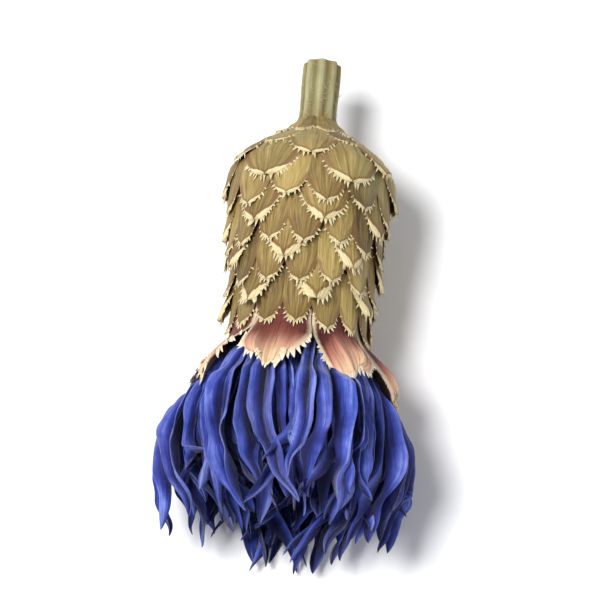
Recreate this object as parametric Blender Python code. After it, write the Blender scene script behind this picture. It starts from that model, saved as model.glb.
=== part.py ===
"""A dried cornflower head lying on its side.

The cut stem widens into the receptacle. Five whorls of overlapping bracts make the
barrel-shaped cup around it, and twelve ray florets and twelve disc florets stand on it.

The head's axis runs along Y: the cut end of the stem is at +Y, and the florets open
towards -Y. A place on the flower is given by s, the distance along the axis from the foot
of the cup towards the florets, and by a radius and an angle around the axis. The lower
florets are spread flat where they meet the surface that the head lies on.
"""

import math
from collections import namedtuple

import bmesh
import bpy
import numpy as np

MM = 0.001

# The cup of bracts
FOOT_RADIUS = 1.25 * MM
CUP_RADIUS = 2.9 * MM
SHOULDER_LENGTH = 1.5 * MM
CUP_TAPER = 0.05
BRACT_THICKNESS = 0.24 * MM
BRACT_EDGE_SHARE = 0.45
BRACT_GAP = 0.12 * MM
ROW_STEP = 0.7 * MM
FIRST_START = 0.2 * MM
BRACT_FILL = 0.93
BRACT_TURN = math.radians(1.0)
BRACT_TIP_WOBBLE = 0.2 * MM
OVATE_SHARE = 0.35
FLARE_POWER = 1.2
TIP_CLEARANCE = 0.4 * MM
LOWEST_FLARE_FROM = 0.7
UPPER_STATIONS = (4.2 * MM, 5.9 * MM, 8.0 * MM, 10.3 * MM, 12.4 * MM, 13.9 * MM, 15.0 * MM)
TIP_CROWDING = 0.25 * MM
BRACT_POINTS_ACROSS = 5

# A whorl: its pieces' name, how many, where they end along the axis, how far their tips
# stand out, from what share of their length they narrow, and how blunt their tips are.
Whorl = namedtuple("Whorl", "name count tip flare narrows bluntness")
WHORLS = (
    Whorl("bract_outermost", 6, 4.7 * MM, 0.10 * MM, 0.5, 0.10),
    Whorl("bract_second", 7, 7.0 * MM, 0.15 * MM, 0.5, 0.12),
    Whorl("bract_third", 7, 9.4 * MM, 0.20 * MM, 0.5, 0.14),
    Whorl("bract_fourth", 7, 11.8 * MM, 0.45 * MM, 0.55, 0.22),
    Whorl("bract_rim", 7, 15.6 * MM, 1.7 * MM, 0.82, 0.45),
)

# The stem and the receptacle
STEM_LENGTH = 4.0 * MM
STEM_RADIUS = 1.0 * MM
STEM_STATIONS = (1.0, 0.7, 0.4, 0.15)
STEM_RIBS = 8
RIB_DEPTH = 0.07
RECEPTACLE_TOP = 3.2 * MM
RECEPTACLE_GAP = 0.15 * MM

# The florets: thin tubes through the cup, which open above TUBE_END
FLORET_FOOT = RECEPTACLE_TOP + 0.2 * MM
TUBE_END = 13.0 * MM
WALL = 0.2 * MM

RAY_COUNT = 12
RAY_RING = 2.36 * MM
RAY_RING_LEAN = 0.25 * MM
RAY_TUBE_MIDDLE = 8.0 * MM
RAY_TUBE_RADIUS = 0.27 * MM
RAY_LENGTHS = (24.9 * MM, 23.7 * MM)
RAY_SPREADS = (6.75 * MM, 4.95 * MM)
RAY_SPREAD_POWER = 1.9
RAY_OPENING = ((14.3 * MM, 0.25), (15.7 * MM, 0.5), (17.4 * MM, 0.78))
RAY_HALF_WIDTH = 1.68 * MM
RAY_HALF_THICKNESS = 0.43 * MM
RAY_LOBES = 6
RAY_LOBE_LENGTH = 4.0 * MM
RAY_LENGTH_WOBBLE = 0.015
THROAT_LENGTH = 0.6 * MM
THROAT_OPENING = 0.96

# A ring of disc florets: its pieces' name, how many, the ring's radius in the cup and at
# the mouths, how far along the axis the mouths are, and the seed's and the mouth's radius.
DiscRing = namedtuple("DiscRing", "name count ring spread mouth seed_radius mouth_radius")
DISC_RINGS = (
    DiscRing("disc_floret_outer", 8, 1.48 * MM, 2.2 * MM, 19.8 * MM, 0.42 * MM, 0.68 * MM),
    DiscRing("disc_floret_inner", 4, 0.60 * MM, 0.85 * MM, 18.8 * MM, 0.33 * MM, 0.50 * MM),
)
DISC_TUBE_RADIUS = 0.2 * MM
DISC_LOBES = 5
DISC_LOBE_LENGTH = 1.8 * MM
DISC_LENGTH_WOBBLE = 0.012
DISC_TWIST = math.radians(15.0)
BELL_LENGTH = 2.2 * MM
HOLLOW_BELOW_NOTCH = 0.5 * MM
BELL_HOLLOW_SHARE = 0.4
BELL_FOOT_SHARE = 0.55
BELL_NOTCH_SHARE = 0.85
SEED_LENGTH = 3.6 * MM
# The seed's shape: shares of its length along it, and of its radius there
SEED_PROFILE = ((0.0, 0.7), (0.5, 1.0), (1.0, 0.75))
SEED_NECK = 1.2

# Where the head meets the surface below it: the tuft's radius before it is pressed, where
# the pressing starts, and how much of the tuft's radius comes out flat on each side
TUFT_RADIUS = 7.22 * MM
PRESS_START = 13.2 * MM
PRESS_POWER = 0.6
FLAT_SHARE = 0.6

SHARP_EDGE = math.radians(40.0)
WOBBLE_STEPS = (12.9898, 78.233)

# Each kind of piece: colour, roughness
FINISHES = {
    "stem": ((0.30, 0.30, 0.17), 0.8),
    "bract": ((0.44, 0.34, 0.13), 0.65),
    "rim_bract": ((0.47, 0.30, 0.21), 0.65),
    "ray_floret": ((0.075, 0.09, 0.36), 0.6),
    "disc_floret": ((0.07, 0.05, 0.13), 0.6),
}


def smoothstep(x):
    x = np.clip(x, 0.0, 1.0)
    return x * x * (3.0 - 2.0 * x)


def wobble(number, kind):
    """A repeatable irregularity between -1 and 1, one for each piece number and kind."""
    return math.sin(WOBBLE_STEPS[0] * number + WOBBLE_STEPS[1] * kind)


def cup_radius(s):
    """The inside of the cup: it swells from the foot to the shoulder, then widens slowly."""
    swell = 1.0 - np.exp(-((s / SHOULDER_LENGTH) ** 2))
    return FOOT_RADIUS + (CUP_RADIUS - FOOT_RADIUS) * swell + CUP_TAPER * s


def whorl_start(row):
    """Where a whorl is seated on the receptacle: each one a step above the whorl outside it."""
    return FIRST_START + ROW_STEP * row


def whorl_radius(row, s):
    """The inner face of a whorl: the cup, and a layer for each whorl that lies inside it.
    A whorl has stepped outwards over the next one by the time that one starts."""
    inner_rows = range(row + 1, len(WHORLS))
    layers = sum(smoothstep((s - whorl_start(inner - 1)) / ROW_STEP) for inner in inner_rows)
    return cup_radius(s) + (BRACT_THICKNESS + BRACT_GAP) * layers


def bract_flare(row, s, tip):
    """How far a bract's tip stands out: nothing until it is clear of the whorl outside it."""
    free = WHORLS[row - 1].tip + TIP_CLEARANCE if row else LOWEST_FLARE_FROM * tip
    return WHORLS[row].flare * smoothstep((s - free) / (tip - free)) ** FLARE_POWER


def belly_radius():
    """The widest the cup gets, at the tips of the outermost whorl."""
    s = np.linspace(0.0, WHORLS[0].tip, 60)
    return float(np.max(whorl_radius(0, s))) + BRACT_THICKNESS


def place(s, radius, angle):
    """Points from distance along the axis, radius and angle, with the axis at the origin."""
    s, radius, angle = np.broadcast_arrays(s, radius, angle)
    return np.stack([radius * np.cos(angle), -s, radius * np.sin(angle)], axis=-1)


def press_down(points):
    """Presses the tuft and the rim flat on the surface that the cup's belly touches: where
    a section reaches lower than the belly, its lower half is scaled towards the axis, more
    in the middle than at the sides."""
    points = points.copy()
    belly = belly_radius()
    end = max(RAY_LENGTHS)
    along = np.clip((-points[..., 1] - PRESS_START) / (end - PRESS_START), 0.0, 1.0)
    reach = belly + (TUFT_RADIUS - belly) * along**PRESS_POWER
    across = np.minimum(np.abs(points[..., 0]), FLAT_SHARE * reach)
    share = np.minimum(1.0, belly / np.sqrt(reach**2 - across**2))
    below = points[..., 2] < 0.0
    points[..., 2] = np.where(below, points[..., 2] * share, points[..., 2])
    return points


def fold_short_way(body, a, b, c, d):
    """The four-sided face a, b, c, d as two triangles, along its shorter diagonal."""
    if (a.co - c.co).length <= (b.co - d.co).length:
        body.faces.new((a, b, c))
        body.faces.new((a, c, d))
    else:
        body.faces.new((b, c, d))
        body.faces.new((b, d, a))


def loft(name, sections, finish, parts):
    """One closed solid through a row of closed sections, with a flat face over each end."""
    sections = press_down(np.asarray(sections))
    rows, around = sections.shape[:2]
    body = bmesh.new()
    rings = [[body.verts.new(point) for point in section] for section in sections]
    for ring, following in zip(rings[:-1], rings[1:]):
        for i in range(around):
            j = (i + 1) % around
            fold_short_way(body, ring[i], ring[j], following[j], following[i])
    body.faces.new(rings[0])
    body.faces.new(rings[-1])
    bmesh.ops.recalc_face_normals(body, faces=body.faces)
    mesh = bpy.data.meshes.new(name)
    body.to_mesh(mesh)
    body.free()
    mesh.materials.append(finish)
    mesh.shade_smooth()
    mesh.set_sharp_from_angle(angle=SHARP_EDGE)
    piece = bpy.data.objects.new(name, mesh)
    parts.objects.link(piece)
    return piece


def stem_sections():
    """Ribbed rings up the stem, whose ribs fade out where it widens into the receptacle."""
    corner = np.arange(2 * STEM_RIBS)
    around = corner * math.pi / STEM_RIBS
    rib = np.where(corner % 2 == 0, RIB_DEPTH, -RIB_DEPTH)
    stem = [place(-STEM_LENGTH * share, STEM_RADIUS * (1.0 + rib), around) for share in STEM_STATIONS]
    receptacle = []
    for s in (0.0, *(whorl_start(row) for row in range(len(WHORLS))), RECEPTACLE_TOP):
        fade = max(0.0, 1.0 - s / ROW_STEP) ** 2
        radius = (cup_radius(s) - RECEPTACLE_GAP) * (1.0 + rib * fade)
        receptacle.append(place(s, radius, around))
    return stem + receptacle


def bract_outline(t, whorl):
    """Half-width of a bract as a share of its room: full at first, then ovate."""
    beyond = np.clip((t - whorl.narrows) / (1.0 - whorl.narrows), 0.0, 1.0)
    ovate = np.sqrt(1.0 - beyond**2) * (1.0 - OVATE_SHARE * beyond)
    return (1.0 - whorl.bluntness) * ovate + whorl.bluntness


def bract_sections(row, number):
    """Curved slices of one bract: an arc on its outside and one back along its inside."""
    whorl = WHORLS[row]
    pitch = 2.0 * math.pi / whorl.count
    centre = pitch * (number + 0.5 * (row % 2)) + BRACT_TURN * wobble(number, row)
    start = whorl_start(row)
    tip = whorl.tip + BRACT_TIP_WOBBLE * wobble(number, row + 10)
    across = np.linspace(-1.0, 1.0, BRACT_POINTS_ACROSS)
    thickness = BRACT_THICKNESS * (1.0 - (1.0 - BRACT_EDGE_SHARE) * across**2)
    seats = [whorl_start(inner) for inner in range(row, len(WHORLS))]
    stations = [s for s in (*seats, *UPPER_STATIONS) if s < tip - TIP_CROWDING]
    sections = []
    for s in (*stations, tip):
        t = (s - start) / (tip - start)
        angles = centre + 0.5 * pitch * BRACT_FILL * bract_outline(t, whorl) * across
        inner = whorl_radius(row, s) + bract_flare(row, s, tip)
        outside = place(s, inner + thickness, angles)
        inside = place(s, inner, angles)
        sections.append(np.concatenate([outside, inside[::-1]]))
    return sections


def floret_ring(s, spread, turn, half_width, half_thickness, points, twist=0.0):
    """An oval of points around a floret's middle, its long way across the radius. Twist
    moves the points along the oval."""
    phase = np.arange(points) * 2.0 * math.pi / points + twist
    outwards = spread + half_thickness * np.sin(phase)
    sideways = half_width * np.cos(phase)
    x = outwards * math.cos(turn) - sideways * math.sin(turn)
    z = outwards * math.sin(turn) + sideways * math.cos(turn)
    return np.stack([x, np.broadcast_to(-s, phase.shape), z], axis=-1)


def lobed(s_tip, lobe_length, points):
    """Where a mouth's rim lies along the axis: lobe tips and the notches between them."""
    return np.where(np.arange(points) % 2 == 0, s_tip, s_tip - lobe_length)


def ray_sections(number):
    """A ray floret: a thin tube through the cup, then a flattened funnel cut into lobes."""
    level = number % 2
    tip = RAY_LENGTHS[level] * (1.0 + RAY_LENGTH_WOBBLE * wobble(number, 21))
    turn = 2.0 * math.pi * number / RAY_COUNT
    points = 2 * RAY_LOBES

    def ring(s, open_share, wall):
        """The floret's section at s: open_share goes from 0, the tube, to 1, the mouth."""
        width = RAY_TUBE_RADIUS + (RAY_HALF_WIDTH - RAY_TUBE_RADIUS) * open_share
        depth = RAY_TUBE_RADIUS + (RAY_HALF_THICKNESS - RAY_TUBE_RADIUS) * open_share
        out = 1.0 - (1.0 - np.clip((s - TUBE_END) / (tip - TUBE_END), 0.0, 1.0)) ** RAY_SPREAD_POWER
        spread = RAY_RING + RAY_RING_LEAN * smoothstep(s / TUBE_END)
        spread = spread + (RAY_SPREADS[level] - spread) * out
        return floret_ring(s, spread, turn, width - wall, depth - wall, points)

    throat = tip - RAY_LOBE_LENGTH - THROAT_LENGTH
    rim = lobed(tip, RAY_LOBE_LENGTH, points)
    tube = [ring(s, 0.0, 0.0) for s in (FLORET_FOOT, RAY_TUBE_MIDDLE, TUBE_END)]
    funnel = [ring(s, open_share, 0.0) for s, open_share in RAY_OPENING]
    outer_mouth = [ring(throat, THROAT_OPENING, 0.0), ring(rim, 1.0, 0.0)]
    inner_mouth = [ring(rim, 1.0, WALL), ring(throat, THROAT_OPENING, WALL)]
    return tube + funnel + outer_mouth + inner_mouth + [ring(*RAY_OPENING[-1], WALL)]


def disc_sections(disc, number):
    """A disc floret: the seed, a thread-thin tube and a small bell cut into lobes."""
    turn = 2.0 * math.pi * (number + 0.5) / disc.count
    points = 2 * DISC_LOBES
    mouth = disc.mouth * (1.0 + DISC_LENGTH_WOBBLE * wobble(number, 31))
    notch = mouth - DISC_LOBE_LENGTH
    bell_foot = notch - BELL_LENGTH
    bell_radii = (BELL_FOOT_SHARE * disc.mouth_radius, BELL_NOTCH_SHARE * disc.mouth_radius)
    twist = DISC_TWIST * wobble(number, 33)

    def ring(s, radius):
        out = smoothstep((s - TUBE_END) / (mouth - TUBE_END))
        spread = disc.ring + (disc.spread - disc.ring) * out
        return floret_ring(s, spread, turn, radius, radius, points, twist)

    rim = lobed(mouth, DISC_LOBE_LENGTH, points)
    seed = [ring(FLORET_FOOT + SEED_LENGTH * a, disc.seed_radius * b) for a, b in SEED_PROFILE]
    neck = FLORET_FOOT + SEED_LENGTH * SEED_NECK
    tube = [ring(neck, DISC_TUBE_RADIUS), ring(TUBE_END, DISC_TUBE_RADIUS)]
    bell = [ring(bell_foot, bell_radii[0]), ring(notch, bell_radii[1])]
    lobes = [ring(rim, disc.mouth_radius), ring(rim, disc.mouth_radius - WALL)]
    hollow = [ring(notch - HOLLOW_BELOW_NOTCH, BELL_HOLLOW_SHARE * disc.mouth_radius)]
    return seed + tube + bell + lobes + hollow


def make_finishes():
    finishes = {}
    for name, (colour, roughness) in FINISHES.items():
        material = bpy.data.materials.new(name)
        material.use_nodes = True
        shader = material.node_tree.nodes["Principled BSDF"]
        shader.inputs["Base Color"].default_value = (*colour, 1.0)
        shader.inputs["Roughness"].default_value = roughness
        shader.inputs["Metallic"].default_value = 0.0
        material.diffuse_color = (*colour, 1.0)
        finishes[name] = material
    return finishes


def clear_scene():
    for piece in list(bpy.data.objects):
        bpy.data.objects.remove(piece, do_unlink=True)


def centre_on_floor(pieces):
    """Moves every piece by one shift, so that the middle of the underside of the whole
    head's box is the origin."""
    points = np.array([vertex.co[:] for piece in pieces for vertex in piece.data.vertices])
    low, high = points.min(axis=0), points.max(axis=0)
    shift = (-0.5 * (low[0] + high[0]), -0.5 * (low[1] + high[1]), -low[2])
    for piece in pieces:
        piece.location = shift


def build():
    clear_scene()
    parts = bpy.data.collections.new("cornflower")
    bpy.context.scene.collection.children.link(parts)
    finishes = make_finishes()
    pieces = [loft("stem_with_receptacle", stem_sections(), finishes["stem"], parts)]
    for row, whorl in enumerate(WHORLS):
        finish = finishes["rim_bract" if whorl is WHORLS[-1] else "bract"]
        for number in range(whorl.count):
            name = f"{whorl.name}_{number + 1}"
            pieces.append(loft(name, bract_sections(row, number), finish, parts))
    for number in range(RAY_COUNT):
        name = f"ray_floret_{number + 1}"
        pieces.append(loft(name, ray_sections(number), finishes["ray_floret"], parts))
    for disc in DISC_RINGS:
        for number in range(disc.count):
            name = f"{disc.name}_{number + 1}"
            sections = disc_sections(disc, number)
            pieces.append(loft(name, sections, finishes["disc_floret"], parts))
    centre_on_floor(pieces)


build()
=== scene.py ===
"""A dried cornflower head lying on its side: its looks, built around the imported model.

Lengths are in millimetres until a piece's mesh is made. A place on the flower is given by
s, the distance along the axis from the foot of the cup towards the florets, and by a radius
and an angle around the axis. The stem's cut end is at +Y and the florets open towards -Y.
"""

import math
from collections import namedtuple

import bmesh
import bpy
import numpy as np
from mathutils import Matrix, Vector


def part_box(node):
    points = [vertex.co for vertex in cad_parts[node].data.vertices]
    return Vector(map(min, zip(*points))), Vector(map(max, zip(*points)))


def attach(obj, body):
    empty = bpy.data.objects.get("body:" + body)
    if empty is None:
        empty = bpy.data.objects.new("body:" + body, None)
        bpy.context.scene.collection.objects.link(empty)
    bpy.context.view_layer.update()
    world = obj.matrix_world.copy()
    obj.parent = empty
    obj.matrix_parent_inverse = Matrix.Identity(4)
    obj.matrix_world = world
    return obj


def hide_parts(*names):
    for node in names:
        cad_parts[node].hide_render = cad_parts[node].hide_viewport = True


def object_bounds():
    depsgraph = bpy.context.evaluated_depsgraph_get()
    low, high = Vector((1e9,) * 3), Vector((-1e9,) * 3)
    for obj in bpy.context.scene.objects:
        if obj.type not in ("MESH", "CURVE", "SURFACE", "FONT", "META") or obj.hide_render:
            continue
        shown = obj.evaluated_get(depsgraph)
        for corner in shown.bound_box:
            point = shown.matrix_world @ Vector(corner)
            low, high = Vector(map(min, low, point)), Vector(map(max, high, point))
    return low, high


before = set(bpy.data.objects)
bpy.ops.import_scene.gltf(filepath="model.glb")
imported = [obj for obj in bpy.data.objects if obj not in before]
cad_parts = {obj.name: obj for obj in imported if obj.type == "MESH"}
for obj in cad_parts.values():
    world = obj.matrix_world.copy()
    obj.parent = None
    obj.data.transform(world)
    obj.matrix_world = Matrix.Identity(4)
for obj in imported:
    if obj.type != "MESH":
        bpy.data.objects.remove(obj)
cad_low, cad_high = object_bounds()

MM = 0.001

# ---- the frame's own shape

STEM_LENGTH = 4.0
STEM_RADIUS = 1.0
STEM_RIBS = 8
RIB_DEPTH = 0.07
RECEPTACLE_TOP = 3.2
RECEPTACLE_GAP = 0.15
FOOT_RADIUS = 1.25
CUP_RADIUS = 2.9
SHOULDER_LENGTH = 1.5
CUP_TAPER = 0.05
BRACT_THICKNESS = 0.24
BRACT_GAP = 0.12
ROW_STEP = 0.7
FIRST_START = 0.2
BRACT_FILL = 0.985
BRACT_TURN = math.radians(1.0)
BRACT_TIP_WOBBLE = 0.2
TIP_CLEARANCE = 0.4
LOWEST_FLARE_FROM = 0.7
FLARE_POWER = 1.2

Whorl = namedtuple("Whorl", "name count tip flare narrows bluntness")
WHORLS = (
    Whorl("bract_outermost", 6, 4.7, 0.10, 0.5, 0.06),
    Whorl("bract_second", 7, 7.0, 0.15, 0.5, 0.06),
    Whorl("bract_third", 7, 9.4, 0.20, 0.5, 0.07),
    Whorl("bract_fourth", 7, 11.8, 0.45, 0.55, 0.12),
    Whorl("bract_rim", 7, 15.6, 1.7, 0.82, 0.4),
)
RIM = len(WHORLS) - 1

FLORET_FOOT = RECEPTACLE_TOP + 0.2
TUBE_END = 13.0
RAY_COUNT = 12
RAY_RING = 2.36
RAY_RING_LEAN = 0.25
RAY_TUBE_RADIUS = 0.27
RAY_LENGTHS = (24.9, 23.7)
RAY_LENGTH_WOBBLE = 0.015

DiscRing = namedtuple("DiscRing", "name count ring spread mouth seed_radius mouth_radius")
DISC_RINGS = (
    DiscRing("disc_floret_outer", 8, 1.48, 2.2, 19.8, 0.42, 0.68),
    DiscRing("disc_floret_inner", 4, 0.60, 0.85, 18.8, 0.33, 0.50),
)
DISC_LENGTH_WOBBLE = 0.012
SEED_LENGTH = 3.6

TUFT_RADIUS = 7.22
PRESS_START = 13.2
PRESS_POWER = 0.6
FLAT_SHARE = 0.6

stem_low, stem_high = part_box("stem_with_receptacle")
AXIS_X = 0.5 * (stem_low.x + stem_high.x) / MM
AXIS_Z = 0.5 * (stem_low.z + stem_high.z) / MM
FOOT_Y = stem_high.y / MM - STEM_LENGTH
BOX_LOW = np.array(cad_low) / MM
BOX_HIGH = np.array(cad_high) / MM

# How far the looks may pass the box, as a share of it, and how softly they are held
BOX_SLACK = 0.012
WALL_SOFTNESS = 0.08
FLOOR_GAP = 0.02
FLOOR_SOFTNESS = 0.04

FULL_TURN = 2.0 * math.pi
PLEAT_SHARPNESS = 0.95


def smoothstep(x):
    x = np.clip(x, 0.0, 1.0)
    return x * x * (3.0 - 2.0 * x)


def part(x, low, high):
    """How far x has come from low to high, held between 0 and 1."""
    return np.clip((x - low) / (high - low), 0.0, 1.0)


def pleat(x):
    """A folded-paper wave: the arcsine of a slightly flattened sine, from -1 to 1."""
    return np.arcsin(PLEAT_SHARPNESS * np.sin(x)) / math.asin(PLEAT_SHARPNESS)


def wobble(number, kind):
    """A repeatable irregularity between -1 and 1, one for each piece number and kind."""
    return math.sin(12.9898 * number + 78.233 * kind)


def cup_radius(s):
    """The inside of the cup: a Gaussian swelling from the foot, then a slow taper."""
    swell = 1.0 - np.exp(-((s / SHOULDER_LENGTH) ** 2))
    return FOOT_RADIUS + (CUP_RADIUS - FOOT_RADIUS) * swell + CUP_TAPER * s


def whorl_start(row):
    return FIRST_START + ROW_STEP * row


def whorl_radius(row, s):
    """The cup's radius, and one smooth step outwards for each whorl that lies inside."""
    inner_rows = range(row + 1, len(WHORLS))
    layers = sum(smoothstep((s - whorl_start(inner - 1)) / ROW_STEP) for inner in inner_rows)
    return cup_radius(s) + (BRACT_THICKNESS + BRACT_GAP) * layers


def bract_flare(row, s, tip):
    """A smooth rise to the whorl's flare, from where the bract is free of the one outside."""
    free = WHORLS[row - 1].tip + TIP_CLEARANCE if row else LOWEST_FLARE_FROM * tip
    return WHORLS[row].flare * smoothstep((s - free) / (tip - free)) ** FLARE_POWER


BELLY = float(np.max(whorl_radius(0, np.linspace(0.0, WHORLS[0].tip, 60)))) + BRACT_THICKNESS


def place(s, radius, angle):
    """Points (radius cos angle, -s, radius sin angle), with the axis at the origin."""
    s, radius, angle = np.broadcast_arrays(s, radius, angle)
    return np.stack([radius * np.cos(angle), -s, radius * np.sin(angle)], axis=-1)


def press_down(points):
    """Where a section of the tuft reaches lower than the belly, its lower half is scaled
    towards the axis, more in the middle than at the sides."""
    points = points.copy()
    along = part(-points[..., 1], PRESS_START, max(RAY_LENGTHS))
    reach = BELLY + (TUFT_RADIUS - BELLY) * along**PRESS_POWER
    across = np.minimum(np.abs(points[..., 0]), FLAT_SHARE * reach)
    share = np.minimum(1.0, BELLY / np.sqrt(reach**2 - across**2))
    below = points[..., 2] < 0.0
    points[..., 2] = np.where(below, points[..., 2] * share, points[..., 2])
    return points


def soft_floor(values, limit, width):
    """Values that bend over to stay above a limit: limit + width log(1 + exp(height / width))."""
    return limit + width * np.logaddexp(0.0, (values - limit) / width)


def soft_ceiling(values, limit, width):
    """The same upside down: values that bend over to stay below a limit."""
    return -soft_floor(-values, -limit, width)


def settle(points):
    """Points about the axis, pressed on the surface below and kept in the model's box. The
    stem's end, at +Y, needs no holding."""
    points = press_down(points) + np.array([AXIS_X, FOOT_Y, AXIS_Z])
    slack = BOX_SLACK * (BOX_HIGH - BOX_LOW)
    low, high = BOX_LOW - slack, BOX_HIGH + slack
    points[:, 2] = soft_floor(points[:, 2], BOX_LOW[2] + FLOOR_GAP, FLOOR_SOFTNESS)
    for axis in (0, 1):
        points[:, axis] = soft_floor(points[:, axis], low[axis], WALL_SOFTNESS)
    for axis in (0, 2):
        points[:, axis] = soft_ceiling(points[:, axis], high[axis], WALL_SOFTNESS)
    return points


# ---- surfaces to meshes

# Points, triangles, and four marks for each point: across, along, tone and ridge.
Patch = namedtuple("Patch", "points faces marks")

WELD_DIGITS = 5
SHARP_EDGE = math.radians(50.0)


def triangles(index):
    """Two triangles for each cell of a grid of point numbers. Its last two axes are rows and
    columns."""
    a, b = index[..., :-1, :-1], index[..., :-1, 1:]
    c, d = index[..., 1:, 1:], index[..., 1:, :-1]
    return np.concatenate([np.stack([a, b, c], -1), np.stack([a, c, d], -1)]).reshape(-1, 3)


def surface(points, across, along, tone=0.0, ridge=0.5, closed=False):
    """A grid of rows and columns of points as triangles. A closed grid joins its last
    column to its first."""
    shape = points.shape[:2]
    index = np.arange(shape[0] * shape[1]).reshape(shape)
    if closed:
        index = np.concatenate([index, index[:, :1]], axis=1)
    marks = [np.broadcast_to(mark, shape).ravel() for mark in (across, along, tone, ridge)]
    return Patch(points.reshape(-1, 3), triangles(index), np.stack(marks, -1))


def join(patches):
    """Patches as one, whose triangles keep to their own points."""
    starts = np.cumsum([0] + [len(p.points) for p in patches])
    return Patch(
        np.concatenate([p.points for p in patches]),
        np.concatenate([p.faces + start for p, start in zip(patches, starts)]),
        np.concatenate([p.marks for p in patches]),
    )


def weld(patch):
    """Points that coincide made one. Returns the points, the triangles on them, and each
    corner's marks, without the triangles that closed up."""
    _, first, merged = np.unique(
        np.round(patch.points, WELD_DIGITS), axis=0, return_index=True, return_inverse=True
    )
    faces = merged.reshape(-1)[patch.faces]
    whole = (faces != np.roll(faces, 1, axis=1)).all(axis=1)
    return patch.points[first], faces[whole], patch.marks[patch.faces[whole]]


def thicken(patch, thickness):
    """A thin sheet made a closed shell: each point moved by half the thickness both ways
    along its normal, and a strip round every free edge."""
    points, faces, marks = weld(patch)
    corners = points[faces]
    normal = np.cross(corners[:, 1] - corners[:, 0], corners[:, 2] - corners[:, 0])
    normals = np.zeros_like(points)
    for corner in range(3):
        np.add.at(normals, faces[:, corner], normal)
    normals /= np.maximum(np.linalg.norm(normals, axis=1, keepdims=True), 1e-12)
    count = len(points)
    half = 0.5 * thickness * normals
    sides = np.concatenate([points + half, points - half])
    start, end = faces.ravel(), faces[:, [1, 2, 0]].ravel()
    start_marks, end_marks = marks.reshape(-1, 4), marks[:, [1, 2, 0]].reshape(-1, 4)
    free = ~np.isin(start * count + end, end * count + start)
    a, b, at_a, at_b = start[free], end[free], start_marks[free], end_marks[free]
    strip = [np.stack([b, a, a + count], -1), np.stack([b, a + count, b + count], -1)]
    strip_marks = [np.stack([at_b, at_a, at_a], 1), np.stack([at_b, at_a, at_b], 1)]
    all_faces = np.concatenate([faces, faces[:, ::-1] + count, *strip])
    all_marks = np.concatenate([marks, marks[:, ::-1], *strip_marks])
    return sides, all_faces, all_marks


def make_piece(name, shell, material, node):
    """A mesh object from points, triangles and corner marks, riding on the frame. The first
    two marks become its UV map, the others the attributes tone and ridge."""
    points, faces, marks = shell
    mesh = bpy.data.meshes.new(name)
    mesh.vertices.add(len(points))
    mesh.vertices.foreach_set("co", (settle(points) * MM).ravel())
    mesh.loops.add(3 * len(faces))
    mesh.loops.foreach_set("vertex_index", faces.ravel())
    mesh.polygons.add(len(faces))
    mesh.polygons.foreach_set("loop_start", np.arange(0, 3 * len(faces), 3))
    mesh.update(calc_edges=True)
    marks = marks.reshape(-1, 4)
    lie = mesh.uv_layers.new(name="lie")
    lie.data.foreach_set("uv", marks[:, :2].ravel())
    for column, label in ((2, "tone"), (3, "ridge")):
        attribute = mesh.attributes.new(label, "FLOAT", "CORNER")
        attribute.data.foreach_set("value", marks[:, column].copy())
    body = bmesh.new()
    body.from_mesh(mesh)
    bmesh.ops.recalc_face_normals(body, faces=body.faces)
    body.to_mesh(mesh)
    body.free()
    mesh.materials.append(material)
    mesh.shade_smooth()
    mesh.set_sharp_from_angle(angle=SHARP_EDGE)
    mesh.validate()
    piece = bpy.data.objects.new(name, mesh)
    bpy.context.scene.collection.objects.link(piece)
    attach(piece, "root")
    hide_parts(node)


SPIKE_STEPS = 4
SPIKE_POWER = 0.8
SPIKE_BLUNTNESS = 0.04


def spikes(base, heading, side, lift, length, half_width, half_depth, tone, mark):
    """Tapered three-sided points: base + heading length t + lift t^2, whose width falls as
    (1 - t)^0.8. The arguments are arrays with one row for each spike, but for the half depth
    and for the mark, which is where along the piece its finish finds them."""
    steps = np.linspace(0.0, 1.0, SPIKE_STEPS)
    t = steps[None, :, None, None]
    length, half_width = (value[:, None, None, None] for value in (length, half_width))
    base, heading, side, lift = (value[:, None, None, :] for value in (base, heading, side, lift))
    up = np.cross(heading, side)
    taper = (1.0 - t) ** SPIKE_POWER + SPIKE_BLUNTNESS
    across = np.array([-1.0, 1.0, 0.0])[None, None, :, None]
    above = np.array([-0.5, -0.5, 1.0])[None, None, :, None]
    path = base + heading * length * t + lift * t**2
    points = path + (side * half_width * across + up * half_depth * above) * taper
    count = points.shape[0]
    tip = np.broadcast_to(path[:, -1:], (count, 1, 3, 3))
    root = np.broadcast_to(path[:, :1], (count, 1, 3, 3))
    points = np.concatenate([root, points, tip], axis=1)
    ridge = np.concatenate([[0.0], steps, [1.0]])[None, :, None]
    shape = points.shape[:3]
    index = np.arange(math.prod(shape)).reshape(shape)
    index = np.concatenate([index, index[:, :, :1]], axis=2)
    values = (np.array([-0.5, 0.5, 0.0]), mark + ridge, tone[:, None, None], ridge)
    marks = np.stack([np.broadcast_to(value, shape) for value in values], -1)
    return Patch(points.reshape(-1, 3), triangles(index), marks.reshape(-1, 4))


# ---- finishes


def srgb(red, green, blue):
    """A screen colour, 0 to 255, as the linear colour that a shader takes."""
    values = np.array([red, green, blue]) / 255.0
    linear = np.where(values <= 0.04045, values / 12.92, ((values + 0.055) / 1.055) ** 2.4)
    return (*map(float, linear), 1.0)


def arithmetic(operation, swapped=False):
    """A method of Wire that adds a Math node."""

    def method(self, *other):
        values = (*other, self) if swapped else (self, *other)
        return self.finish.sum(operation, *values)

    return method


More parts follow.
